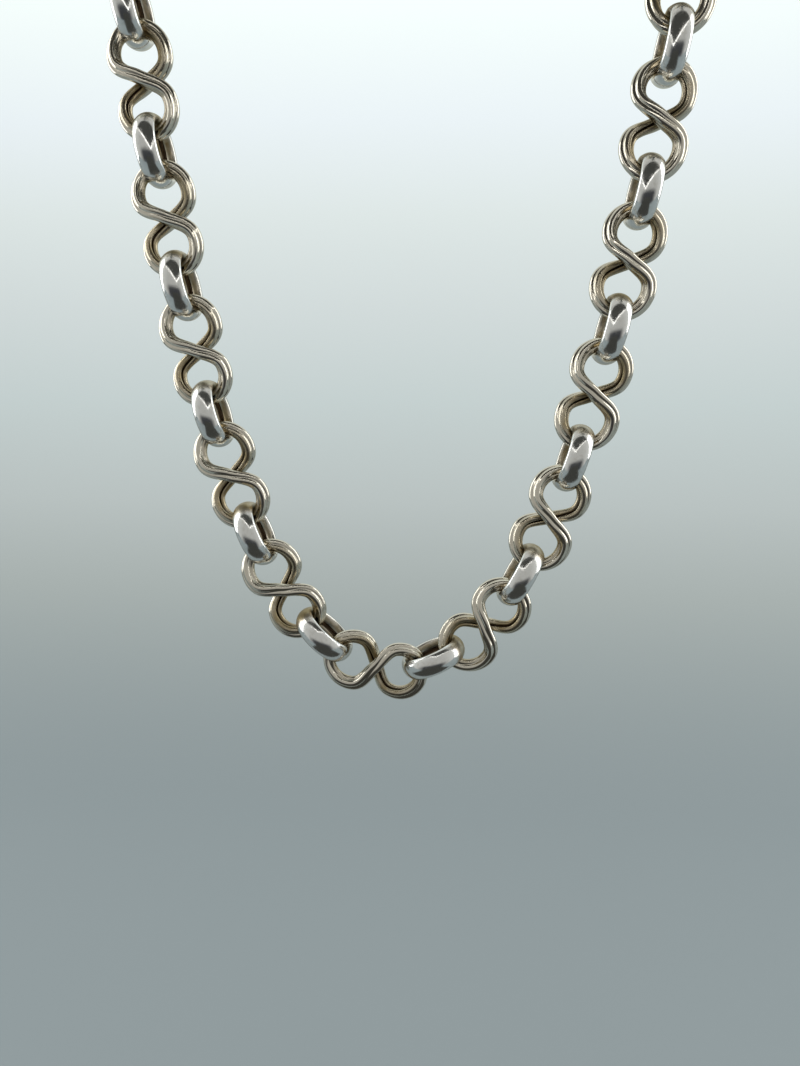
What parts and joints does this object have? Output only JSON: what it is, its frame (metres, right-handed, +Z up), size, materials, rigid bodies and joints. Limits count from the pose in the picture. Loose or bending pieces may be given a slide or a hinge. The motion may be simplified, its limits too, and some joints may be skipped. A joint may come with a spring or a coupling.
{
  "type": "chain necklace",
  "caption": "Closed necklace chain of figure-of-eight wire links and edge-on belcher rings, with a lobster clasp, hanging in a U.",
  "frame": {"origin": "the middle of the clasp's underside, where the closed necklace rests on the back of the neck", "axes": "the chain hangs in the XZ plane with +Z up, its front to -Y and the clasp's hook to +X"},
  "size_m": [0.0895, 0.0092, 0.2023],
  "materials": {
    "silver_wire": "polished silver, tan tarnish in the recesses, fine scratches",
    "silver_band": "polished silver outside, tarnished dull inside",
    "silver_rings": "polished silver",
    "silver_clasp": "polished silver, lightly scratched",
    "spring_steel": "drawn steel wire"
  },
  "bodies": {
    "clasp": {"clasp_body": "silver_clasp", "clasp_pin": "spring_steel", "clasp_spring": "spring_steel"},
    "clasp_lever": {"clasp_lever": "silver_clasp"},
    "jump_ring": {"jump_ring": "silver_rings"},
    "catch_ring": {"catch_ring": "silver_rings"},
    "figure_eight_left_01": {"figure_eight_left_01": "silver_wire"},
    "figure_eight_right_01": {"figure_eight_right_01": "silver_wire"},
    "belcher_ring_left_01": {"belcher_ring_left_01": "silver_band"},
    "belcher_ring_right_01": {"belcher_ring_right_01": "silver_band"},
    "figure_eight_left_02": {"figure_eight_left_02": "silver_wire"},
    "figure_eight_right_02": {"figure_eight_right_02": "silver_wire"},
    "belcher_ring_left_02": {"belcher_ring_left_02": "silver_band"},
    "belcher_ring_right_02": {"belcher_ring_right_02": "silver_band"},
    "figure_eight_left_03": {"figure_eight_left_03": "silver_wire"},
    "figure_eight_right_03": {"figure_eight_right_03": "silver_wire"},
    "belcher_ring_left_03": {"belcher_ring_left_03": "silver_band"},
    "belcher_ring_right_03": {"belcher_ring_right_03": "silver_band"},
    "figure_eight_left_04": {"figure_eight_left_04": "silver_wire"},
    "figure_eight_right_04": {"figure_eight_right_04": "silver_wire"},
    "belcher_ring_left_04": {"belcher_ring_left_04": "silver_band"},
    "belcher_ring_right_04": {"belcher_ring_right_04": "silver_band"},
    "figure_eight_left_05": {"figure_eight_left_05": "silver_wire"},
    "figure_eight_right_05": {"figure_eight_right_05": "silver_wire"},
    "belcher_ring_left_05": {"belcher_ring_left_05": "silver_band"},
    "belcher_ring_right_05": {"belcher_ring_right_05": "silver_band"},
    "figure_eight_left_06": {"figure_eight_left_06": "silver_wire"},
    "figure_eight_right_06": {"figure_eight_right_06": "silver_wire"},
    "belcher_ring_left_06": {"belcher_ring_left_06": "silver_band"},
    "belcher_ring_right_06": {"belcher_ring_right_06": "silver_band"},
    "figure_eight_left_07": {"figure_eight_left_07": "silver_wire"},
    "figure_eight_right_07": {"figure_eight_right_07": "silver_wire"},
    "belcher_ring_left_07": {"belcher_ring_left_07": "silver_band"},
    "belcher_ring_right_07": {"belcher_ring_right_07": "silver_band"},
    "figure_eight_left_08": {"figure_eight_left_08": "silver_wire"},
    "figure_eight_right_08": {"figure_eight_right_08": "silver_wire"},
    "belcher_ring_left_08": {"belcher_ring_left_08": "silver_band"},
    "belcher_ring_right_08": {"belcher_ring_right_08": "silver_band"},
    "figure_eight_left_09": {"figure_eight_left_09": "silver_wire"},
    "figure_eight_right_09": {"figure_eight_right_09": "silver_wire"},
    "belcher_ring_left_09": {"belcher_ring_left_09": "silver_band"},
    "belcher_ring_right_09": {"belcher_ring_right_09": "silver_band"},
    "figure_eight_left_10": {"figure_eight_left_10": "silver_wire"},
    "figure_eight_right_10": {"figure_eight_right_10": "silver_wire"},
    "belcher_ring_left_10": {"belcher_ring_left_10": "silver_band"},
    "belcher_ring_right_10": {"belcher_ring_right_10": "silver_band"},
    "figure_eight_left_11": {"figure_eight_left_11": "silver_wire"},
    "figure_eight_right_11": {"figure_eight_right_11": "silver_wire"},
    "belcher_ring_left_11": {"belcher_ring_left_11": "silver_band"},
    "belcher_ring_right_11": {"belcher_ring_right_11": "silver_band"},
    "figure_eight_left_12": {"figure_eight_left_12": "silver_wire"},
    "figure_eight_right_12": {"figure_eight_right_12": "silver_wire"},
    "belcher_ring_left_12": {"belcher_ring_left_12": "silver_band"},
    "belcher_ring_right_12": {"belcher_ring_right_12": "silver_band"},
    "figure_eight_bottom": {"figure_eight_bottom": "silver_wire"}
  },
  "joints": [
    {"name": "clasp_lever_hinge", "type": "hinge", "parent": "clasp", "child": "clasp_lever", "pos_m": [-0.00127, 0, 0.00539], "axis": [0, 1, 0], "range_deg": [0, 22], "stiffness_Nm_per_rad": 0.012, "springref_deg": -20.05},
    {"name": "jump_ring_swing", "type": "hinge", "parent": "clasp", "child": "jump_ring", "pos_m": [-0.00987, 0, 0.00392], "axis": [0.9973, 0, -0.074], "range_deg": [-25, 25]},
    {"name": "catch_ring_swing", "type": "hinge", "parent": "clasp", "child": "catch_ring", "pos_m": [0.01101, 0, 0.00237], "axis": [0.9973, 0, -0.074], "range_deg": [-25, 25]},
    {"name": "figure_eight_left_01_swing", "type": "hinge", "parent": "jump_ring", "child": "figure_eight_left_01", "pos_m": [-0.01406, 0, 0.00281], "axis": [-0.9976, 0, 0.0699], "range_deg": [-25, 25]},
    {"name": "figure_eight_right_01_swing", "type": "hinge", "parent": "catch_ring", "child": "figure_eight_right_01", "pos_m": [0.01488, 0, 0.00078], "axis": [-0.9976, 0, 0.0699], "range_deg": [-25, 25]},
    {"name": "belcher_ring_left_01_swing", "type": "hinge", "parent": "figure_eight_left_01", "child": "belcher_ring_left_01", "pos_m": [-0.02574, 0, -0.00304], "axis": [0.9976, 0, -0.069], "range_deg": [-15, 15]},
    {"name": "belcher_ring_right_01_swing", "type": "hinge", "parent": "figure_eight_right_01", "child": "belcher_ring_right_01", "pos_m": [0.02566, 0, -0.00659], "axis": [0.9976, 0, -0.069], "range_deg": [-15, 15]},
    {"name": "figure_eight_left_02_swing", "type": "hinge", "parent": "belcher_ring_left_01", "child": "figure_eight_left_02", "pos_m": [-0.0289, 0, -0.00556], "axis": [-0.9976, 0, 0.069], "range_deg": [-15, 15]},
    {"name": "figure_eight_right_02_swing", "type": "hinge", "parent": "belcher_ring_right_01", "child": "figure_eight_right_02", "pos_m": [0.02843, 0, -0.00952], "axis": [-0.9976, 0, 0.069], "range_deg": [-15, 15]},
    {"name": "belcher_ring_left_02_swing", "type": "hinge", "parent": "figure_eight_left_02", "child": "belcher_ring_left_02", "pos_m": [-0.03714, 0, -0.01568], "axis": [0.9976, 0, -0.069], "range_deg": [-40, 40]},
    {"name": "belcher_ring_right_02_swing", "type": "hinge", "parent": "figure_eight_right_02", "child": "belcher_ring_right_02", "pos_m": [0.0352, 0, -0.02069], "axis": [0.9976, 0, -0.069], "range_deg": [-40, 40]},
    {"name": "figure_eight_left_03_swing", "type": "hinge", "parent": "belcher_ring_left_02", "child": "figure_eight_left_03", "pos_m": [-0.03897, 0, -0.01928], "axis": [-0.9976, 0, 0.069], "range_deg": [-40, 40]},
    {"name": "figure_eight_right_03_swing", "type": "hinge", "parent": "belcher_ring_right_02", "child": "figure_eight_right_03", "pos_m": [0.03652, 0, -0.0245], "axis": [-0.9976, 0, 0.069], "range_deg": [-40, 40]},
    {"name": "belcher_ring_left_03_swing", "type": "hinge", "parent": "figure_eight_left_03", "child": "belcher_ring_left_03", "pos_m": [-0.0423, 0, -0.0319], "axis": [0.9976, 0, -0.069], "range_deg": [-60, 60]},
    {"name": "belcher_ring_right_03_swing", "type": "hinge", "parent": "figure_eight_right_03", "child": "belcher_ring_right_03", "pos_m": [0.03821, 0, -0.03747], "axis": [0.9976, 0, -0.069], "range_deg": [-60, 60]},
    {"name": "figure_eight_left_04_swing", "type": "hinge", "parent": "belcher_ring_left_03", "child": "figure_eight_left_04", "pos_m": [-0.04248, 0, -0.03594], "axis": [-0.9976, 0, 0.069], "range_deg": [-60, 60]},
    {"name": "figure_eight_right_04_swing", "type": "hinge", "parent": "belcher_ring_right_03", "child": "figure_eight_right_04", "pos_m": [0.038, 0, -0.04151], "axis": [-0.9976, 0, 0.069], "range_deg": [-60, 60]},
    {"name": "belcher_ring_left_04_swing", "type": "hinge", "parent": "figure_eight_left_04", "child": "belcher_ring_left_04", "pos_m": [-0.04183, 0, -0.0491], "axis": [0.9975, 0, -0.0704], "range_deg": [-60, 60]},
    {"name": "belcher_ring_right_04_swing", "type": "hinge", "parent": "figure_eight_right_04", "child": "belcher_ring_right_04", "pos_m": [0.037, 0, -0.05467], "axis": [0.9975, 0, -0.0704], "range_deg": [-60, 60]},
    {"name": "figure_eight_left_05_swing", "type": "hinge", "parent": "belcher_ring_left_04", "child": "figure_eight_left_05", "pos_m": [-0.0415, 0, -0.05313], "axis": [-0.9975, 0, 0.071], "range_deg": [-60, 60]},
    {"name": "figure_eight_right_05_swing", "type": "hinge", "parent": "belcher_ring_right_04", "child": "figure_eight_right_05", "pos_m": [0.03666, 0, -0.05869], "axis": [-0.9975, 0, 0.071], "range_deg": [-60, 60]},
    {"name": "belcher_ring_left_05_swing", "type": "hinge", "parent": "figure_eight_left_05", "child": "belcher_ring_left_05", "pos_m": [-0.04034, 0, -0.06628], "axis": [0.9973, 0, -0.0732], "range_deg": [-60, 60]},
    {"name": "belcher_ring_right_05_swing", "type": "hinge", "parent": "figure_eight_right_05", "child": "belcher_ring_right_05", "pos_m": [0.03545, 0, -0.07184], "axis": [0.9973, 0, -0.0732], "range_deg": [-60, 60]},
    {"name": "figure_eight_left_06_swing", "type": "hinge", "parent": "belcher_ring_left_05", "child": "figure_eight_left_06", "pos_m": [-0.03996, 0, -0.0703], "axis": [-0.9973, 0, 0.0739], "range_deg": [-60, 60]},
    {"name": "figure_eight_right_06_swing", "type": "hinge", "parent": "belcher_ring_right_05", "child": "figure_eight_right_06", "pos_m": [0.03506, 0, -0.07586], "axis": [-0.9973, 0, 0.0739], "range_deg": [-60, 60]},
    {"name": "belcher_ring_left_06_swing", "type": "hinge", "parent": "figure_eight_left_06", "child": "belcher_ring_left_06", "pos_m": [-0.03864, 0, -0.08343], "axis": [0.9971, 0, -0.0765], "range_deg": [-60, 60]},
    {"name": "belcher_ring_right_06_swing", "type": "hinge", "parent": "figure_eight_right_06", "child": "belcher_ring_right_06", "pos_m": [0.03367, 0, -0.08898], "axis": [0.9971, 0, -0.0765], "range_deg": [-60, 60]},
    {"name": "figure_eight_left_07_swing", "type": "hinge", "parent": "belcher_ring_left_06", "child": "figure_eight_left_07", "pos_m": [-0.03821, 0, -0.08745], "axis": [-0.997, 0, 0.0775], "range_deg": [-60, 60]},
    {"name": "figure_eight_right_07_swing", "type": "hinge", "parent": "belcher_ring_right_06", "child": "figure_eight_right_07", "pos_m": [0.03322, 0, -0.093], "axis": [-0.997, 0, 0.0775], "range_deg": [-60, 60]},
    {"name": "belcher_ring_left_07_swing", "type": "hinge", "parent": "figure_eight_left_07", "child": "belcher_ring_left_07", "pos_m": [-0.03668, 0, -0.10056], "axis": [0.9967, 0, -0.0808], "range_deg": [-60, 60]},
    {"name": "belcher_ring_right_07_swing", "type": "hinge", "parent": "figure_eight_right_07", "child": "belcher_ring_right_07", "pos_m": [0.0316, 0, -0.10609], "axis": [0.9967, 0, -0.0808], "range_deg": [-60, 60]},
    {"name": "figure_eight_left_08_swing", "type": "hinge", "parent": "belcher_ring_left_07", "child": "figure_eight_left_08", "pos_m": [-0.03617, 0, -0.10456], "axis": [-0.9966, 0, 0.0821], "range_deg": [-60, 60]},
    {"name": "figure_eight_right_08_swing", "type": "hinge", "parent": "belcher_ring_right_07", "child": "figure_eight_right_08", "pos_m": [0.03106, 0, -0.1101], "axis": [-0.9966, 0, 0.0821], "range_deg": [-60, 60]},
    {"name": "belcher_ring_left_08_swing", "type": "hinge", "parent": "figure_eight_left_08", "child": "belcher_ring_left_08", "pos_m": [-0.03434, 0, -0.11764], "axis": [0.9962, 0, -0.0866], "range_deg": [-60, 60]},
    {"name": "belcher_ring_right_08_swing", "type": "hinge", "parent": "figure_eight_right_08", "child": "belcher_ring_right_08", "pos_m": [0.02912, 0, -0.12315], "axis": [0.9962, 0, -0.0866], "range_deg": [-60, 60]},
    {"name": "figure_eight_left_09_swing", "type": "hinge", "parent": "belcher_ring_left_08", "child": "figure_eight_left_09", "pos_m": [-0.03373, 0, -0.12163], "axis": [-0.9961, 0, 0.0883], "range_deg": [-60, 60]},
    {"name": "figure_eight_right_09_swing", "type": "hinge", "parent": "belcher_ring_right_08", "child": "figure_eight_right_09", "pos_m": [0.02846, 0, -0.12714], "axis": [-0.9961, 0, 0.0883], "range_deg": [-60, 60]},
    {"name": "belcher_ring_left_09_swing", "type": "hinge", "parent": "figure_eight_left_09", "child": "belcher_ring_left_09", "pos_m": [-0.03147, 0, -0.13463], "axis": [0.9955, 0, -0.0948], "range_deg": [-60, 60]},
    {"name": "belcher_ring_right_09_swing", "type": "hinge", "parent": "figure_eight_right_09", "child": "belcher_ring_right_09", "pos_m": [0.02601, 0, -0.14011], "axis": [0.9955, 0, -0.0948], "range_deg": [-60, 60]},
    {"name": "figure_eight_left_10_swing", "type": "hinge", "parent": "belcher_ring_left_09", "child": "figure_eight_left_10", "pos_m": [-0.03069, 0, -0.13859], "axis": [-0.9953, 0, 0.0973], "range_deg": [-60, 60]},
    {"name": "figure_eight_right_10_swing", "type": "hinge", "parent": "belcher_ring_right_09", "child": "figure_eight_right_10", "pos_m": [0.02516, 0, -0.14405], "axis": [-0.9953, 0, 0.0973], "range_deg": [-60, 60]},
    {"name": "belcher_ring_left_10_swing", "type": "hinge", "parent": "figure_eight_left_10", "child": "belcher_ring_left_10", "pos_m": [-0.02773, 0, -0.15145], "axis": [0.9942, 0, -0.1078], "range_deg": [-45, 45]},
    {"name": "belcher_ring_right_10_swing", "type": "hinge", "parent": "figure_eight_right_10", "child": "belcher_ring_right_10", "pos_m": [0.02188, 0, -0.15683], "axis": [0.9942, 0, -0.1078], "range_deg": [-45, 45]},
    {"name": "figure_eight_left_11_swing", "type": "hinge", "parent": "belcher_ring_left_10", "child": "figure_eight_left_11", "pos_m": [-0.02668, 0, -0.15535], "axis": [-0.9937, 0, 0.112], "range_deg": [-45, 45]},
    {"name": "figure_eight_right_11_swing", "type": "hinge", "parent": "belcher_ring_right_10", "child": "figure_eight_right_11", "pos_m": [0.02069, 0, -0.16069], "axis": [-0.9937, 0, 0.112], "range_deg": [-45, 45]},
    {"name": "belcher_ring_left_11_swing", "type": "hinge", "parent": "figure_eight_left_11", "child": "belcher_ring_left_11", "pos_m": [-0.02243, 0, -0.16783], "axis": [0.9913, 0, -0.1316], "range_deg": [-30, 30]},
    {"name": "belcher_ring_right_11_swing", "type": "hinge", "parent": "figure_eight_right_11", "child": "belcher_ring_right_11", "pos_m": [0.01576, 0, -0.1729], "axis": [0.9913, 0, -0.1316], "range_deg": [-30, 30]},
    {"name": "figure_eight_left_12_swing", "type": "hinge", "parent": "belcher_ring_left_11", "child": "figure_eight_left_12", "pos_m": [-0.02082, 0, -0.17154], "axis": [-0.9901, 0, 0.1405], "range_deg": [-30, 30]},
    {"name": "figure_eight_right_12_swing", "type": "hinge", "parent": "belcher_ring_right_11", "child": "figure_eight_right_12", "pos_m": [0.01384, 0, -0.17646], "axis": [-0.9901, 0, 0.1405], "range_deg": [-30, 30]},
    {"name": "belcher_ring_left_12_swing", "type": "hinge", "parent": "figure_eight_left_12", "child": "belcher_ring_left_12", "pos_m": [-0.0136, 0, -0.1824], "axis": [0.9841, 0, -0.1774], "range_deg": [-12, 12]},
    {"name": "belcher_ring_right_12_swing", "type": "hinge", "parent": "figure_eight_right_12", "child": "belcher_ring_right_12", "pos_m": [0.00498, 0, -0.18575], "axis": [0.9841, 0, -0.1774], "range_deg": [-12, 12]},
    {"name": "figure_eight_bottom_turn", "type": "hinge", "parent": "belcher_ring_left_12", "child": "figure_eight_bottom", "pos_m": [-0.01061, 0, -0.18511], "axis": [0.9817, 0, -0.1905], "range_deg": [-10, 10]}
  ],
  "couplings": [
    {"joint": "catch_ring_swing", "follows": "jump_ring_swing", "ratio": 1},
    {"joint": "figure_eight_right_01_swing", "follows": "figure_eight_left_01_swing", "ratio": 1},
    {"joint": "belcher_ring_right_01_swing", "follows": "belcher_ring_left_01_swing", "ratio": 1},
    {"joint": "figure_eight_right_02_swing", "follows": "figure_eight_left_02_swing", "ratio": 1},
    {"joint": "belcher_ring_right_02_swing", "follows": "belcher_ring_left_02_swing", "ratio": 1},
    {"joint": "figure_eight_right_03_swing", "follows": "figure_eight_left_03_swing", "ratio": 1},
    {"joint": "belcher_ring_right_03_swing", "follows": "belcher_ring_left_03_swing", "ratio": 1},
    {"joint": "figure_eight_right_04_swing", "follows": "figure_eight_left_04_swing", "ratio": 1},
    {"joint": "belcher_ring_right_04_swing", "follows": "belcher_ring_left_04_swing", "ratio": 1},
    {"joint": "figure_eight_right_05_swing", "follows": "figure_eight_left_05_swing", "ratio": 1},
    {"joint": "belcher_ring_right_05_swing", "follows": "belcher_ring_left_05_swing", "ratio": 1},
    {"joint": "figure_eight_right_06_swing", "follows": "figure_eight_left_06_swing", "ratio": 1},
    {"joint": "belcher_ring_right_06_swing", "follows": "belcher_ring_left_06_swing", "ratio": 1},
    {"joint": "figure_eight_right_07_swing", "follows": "figure_eight_left_07_swing", "ratio": 1},
    {"joint": "belcher_ring_right_07_swing", "follows": "belcher_ring_left_07_swing", "ratio": 1},
    {"joint": "figure_eight_right_08_swing", "follows": "figure_eight_left_08_swing", "ratio": 1},
    {"joint": "belcher_ring_right_08_swing", "follows": "belcher_ring_left_08_swing", "ratio": 1},
    {"joint": "figure_eight_right_09_swing", "follows": "figure_eight_left_09_swing", "ratio": 1},
    {"joint": "belcher_ring_right_09_swing", "follows": "belcher_ring_left_09_swing", "ratio": 1},
    {"joint": "figure_eight_right_10_swing", "follows": "figure_eight_left_10_swing", "ratio": 1},
    {"joint": "belcher_ring_right_10_swing", "follows": "belcher_ring_left_10_swing", "ratio": 1},
    {"joint": "figure_eight_right_11_swing", "follows": "figure_eight_left_11_swing", "ratio": 1},
    {"joint": "belcher_ring_right_11_swing", "follows": "belcher_ring_left_11_swing", "ratio": 1},
    {"joint": "figure_eight_right_12_swing", "follows": "figure_eight_left_12_swing", "ratio": 1},
    {"joint": "belcher_ring_right_12_swing", "follows": "belcher_ring_left_12_swing", "ratio": 1}
  ]
}
